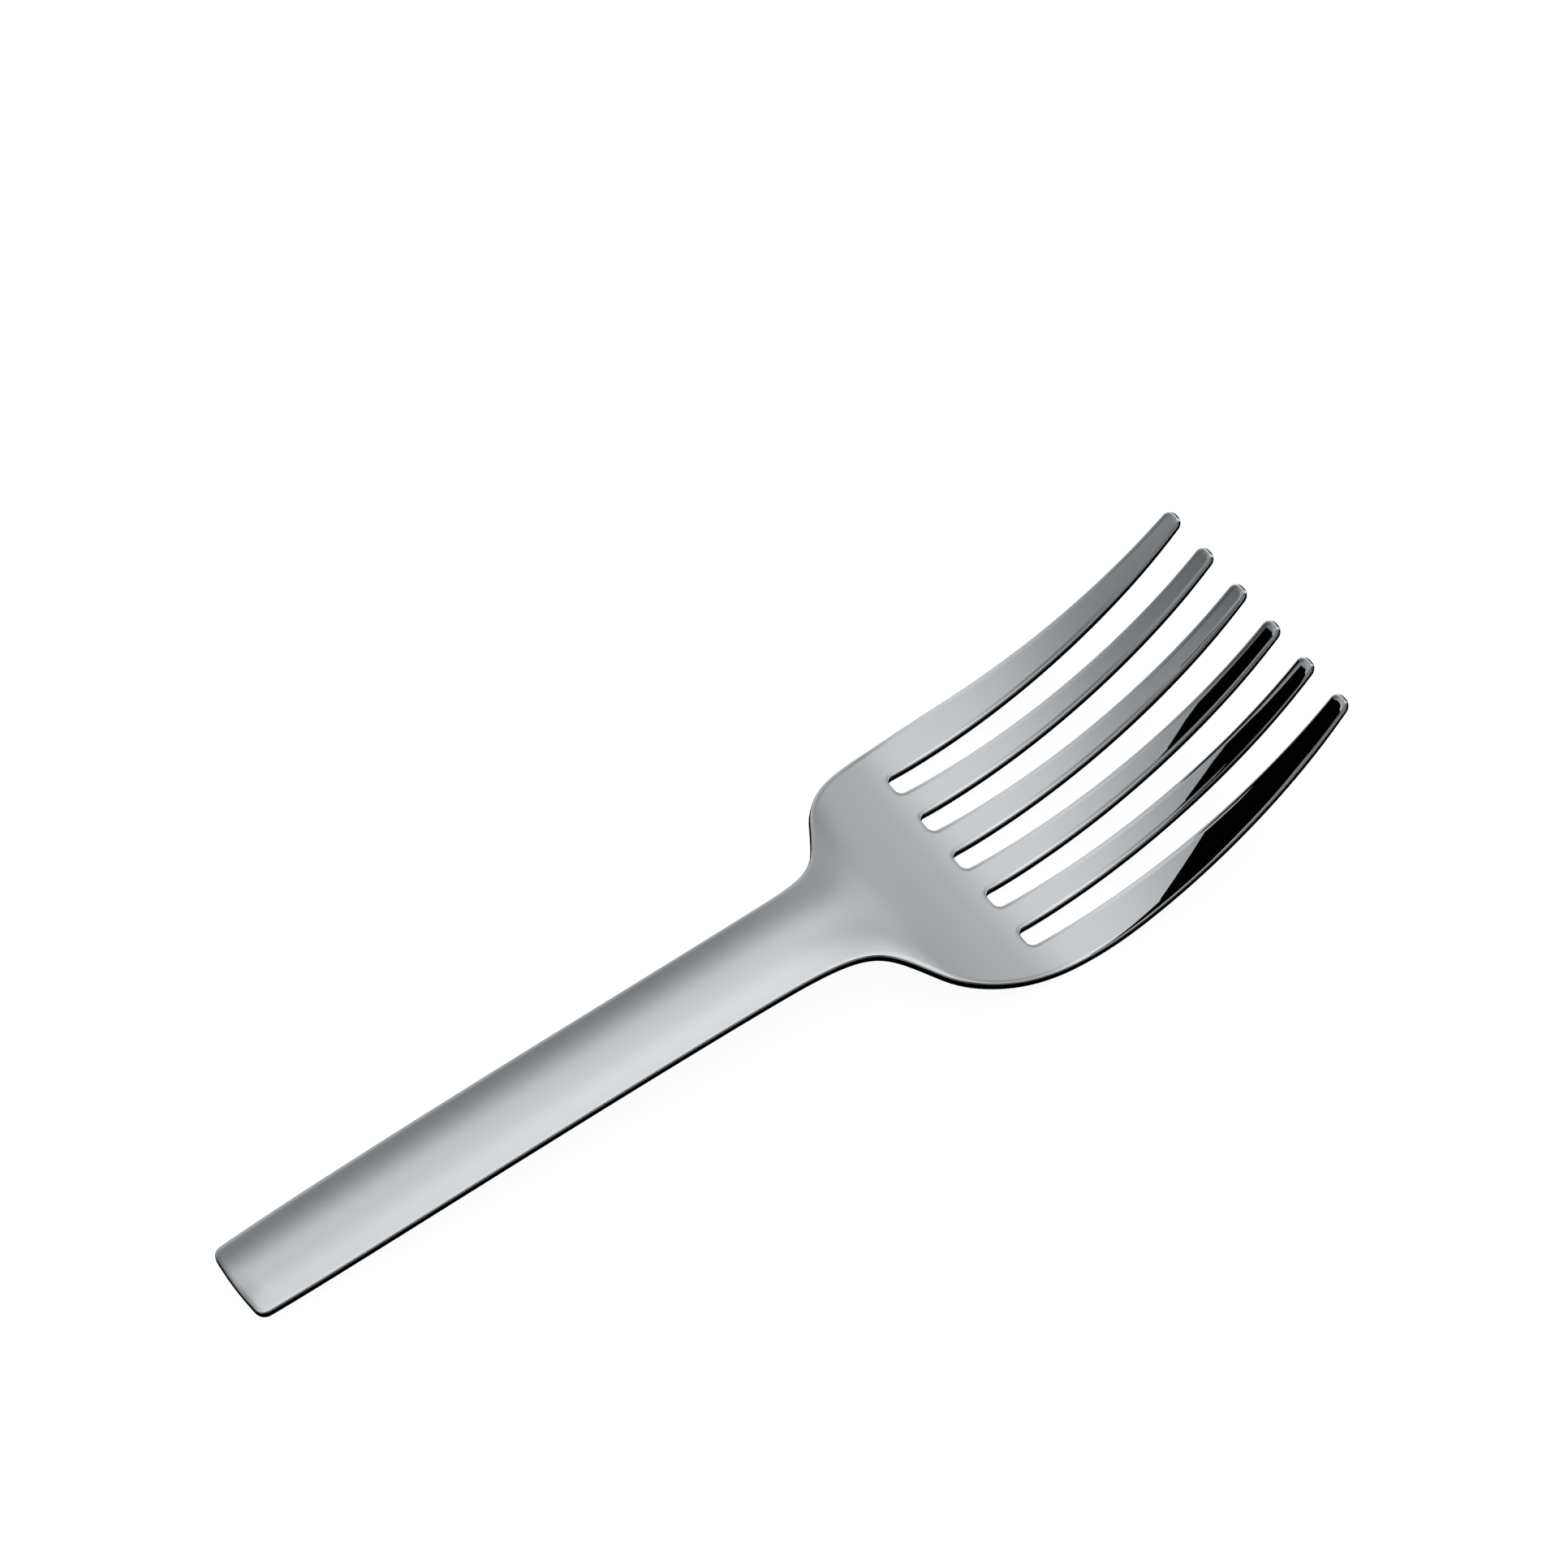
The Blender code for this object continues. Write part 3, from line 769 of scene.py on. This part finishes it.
def soft_light(nodes, direction, x, y, spread_x, spread_y, brightness):
    """Brightness of one soft lamp or flag by direction: a bump that fades out round its middle."""
    away_x = nodes.math("MULTIPLY", nodes.math("SUBTRACT", direction["X"], x), 1.0 / spread_x)
    away_y = nodes.math("MULTIPLY", nodes.math("SUBTRACT", direction["Y"], y), 1.0 / spread_y)
    away = nodes.math("MULTIPLY_ADD", away_x, away_x, nodes.math("MULTIPLY", away_y, away_y))
    return nodes.math("MULTIPLY", nodes.math("EXPONENT", nodes.math("MULTIPLY", away, -0.5)), brightness)


def add_light():
    """The studio's light by direction, behind a background that the camera sees as white."""
    world = bpy.data.worlds.new("studio")
    world.use_nodes = True
    bpy.context.scene.world = world
    nodes = Nodes(world.node_tree)
    coordinates = nodes.add("ShaderNodeTexCoord").outputs["Generated"]
    direction = nodes.add("ShaderNodeSeparateXYZ", Vector=coordinates).outputs
    level = 0.0
    for light in SOFT_LIGHTS.values():
        level = nodes.math("ADD", soft_light(nodes, direction, *light), level)
    level = nodes.math("MAXIMUM", level, 0.0)
    behind = {"From Min": 0.0, "From Max": SHADE_DIRECTION}
    shade = nodes.add("ShaderNodeMapRange", Value=direction["Y"], **behind).outputs[0]
    colour = nodes.add("ShaderNodeMixRGB", Fac=shade, Color1=LIGHT_COLOUR, Color2=SHADE_COLOUR)
    light = nodes.add("ShaderNodeBackground", Color=colour.outputs[0], Strength=level)
    white = nodes.add("ShaderNodeBackground", Color=WHITE, Strength=1.0)
    seen = nodes.add("ShaderNodeLightPath").outputs["Is Camera Ray"]
    nodes.finish(nodes.mix_shader(seen, light, white), "ShaderNodeOutputWorld")


def add_camera():
    """The camera, at the photograph's viewing angle."""
    across = Vector((math.cos(CAMERA_BEARING), math.sin(CAMERA_BEARING), 0.0))
    back = Vector((math.sin(CAMERA_BEARING) * math.cos(CAMERA_HEIGHT),
                   -math.cos(CAMERA_BEARING) * math.cos(CAMERA_HEIGHT), math.sin(CAMERA_HEIGHT)))
    up = back.cross(across)
    data = bpy.data.cameras.new("camera")
    data.sensor_width = SENSOR_WIDTH
    data.lens = data.sensor_width * FOCAL_PIXELS / IMAGE_SIDE
    camera = bpy.data.objects.new("camera", data)
    turn = Matrix((across, up, back)).transposed().to_4x4()
    camera.matrix_world = Matrix.Translation(Vector(CAMERA_TARGET) + back * CAMERA_DISTANCE) @ turn
    bpy.context.scene.collection.objects.link(camera)
    bpy.context.scene.camera = camera


bpy.context.scene.view_settings.view_transform = "Standard"
add_fork()
add_floor()
add_cards()
add_light()
add_camera()
